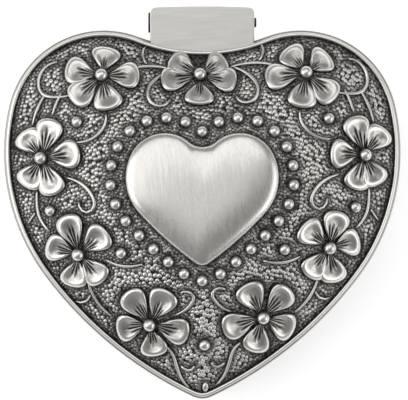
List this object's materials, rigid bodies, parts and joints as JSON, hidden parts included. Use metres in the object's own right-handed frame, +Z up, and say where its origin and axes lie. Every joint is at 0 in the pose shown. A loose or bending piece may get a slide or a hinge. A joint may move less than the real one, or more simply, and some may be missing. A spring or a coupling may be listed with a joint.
{
  "type": "heart trinket box",
  "caption": "Heart-shaped metal trinket box with a domed floral lid on a rear pin hinge, velvet lining and bun feet.",
  "frame": {"origin": "on the table, under the middle of the box's bounding box", "axes": "+Z up, +Y towards the hinge behind the notch, -Y towards the heart's tip, +X across the lobes"},
  "size_m": [0.09, 0.089, 0.0416],
  "materials": {
    "tub_casting": "antiqued pewter casting",
    "lid_casting": "antiqued pewter casting, polished on the high points",
    "plaque": "brushed pewter",
    "hinge_casting": "brushed pewter",
    "feet": "antiqued pewter",
    "pin_steel": "blackened steel",
    "velvet": "black velvet",
    "felt": "black felt",
    "card": "grey card"
  },
  "bodies": {
    "base": {"base_shell": "tub_casting", "foot_left": "feet", "foot_right": "feet", "foot_tip": "feet", "base_felt": "felt", "floor_card": "card", "floor_pad": "velvet", "wall_lining": "velvet", "hinge_knuckle": "hinge_casting"},
    "lid": {"lid_shell": "lid_casting", "heart_plaque": "plaque", "hinge_leaf": "hinge_casting", "hinge_pin": "pin_steel", "lid_card": "card", "lid_pad": "velvet"}
  },
  "joints": [
    {"name": "lid_hinge", "type": "hinge", "parent": "base", "child": "lid", "pos_m": [0, 0.0409, 0.0224], "axis": [-1, 0, 0], "range_deg": [0, 105]}
  ]
}
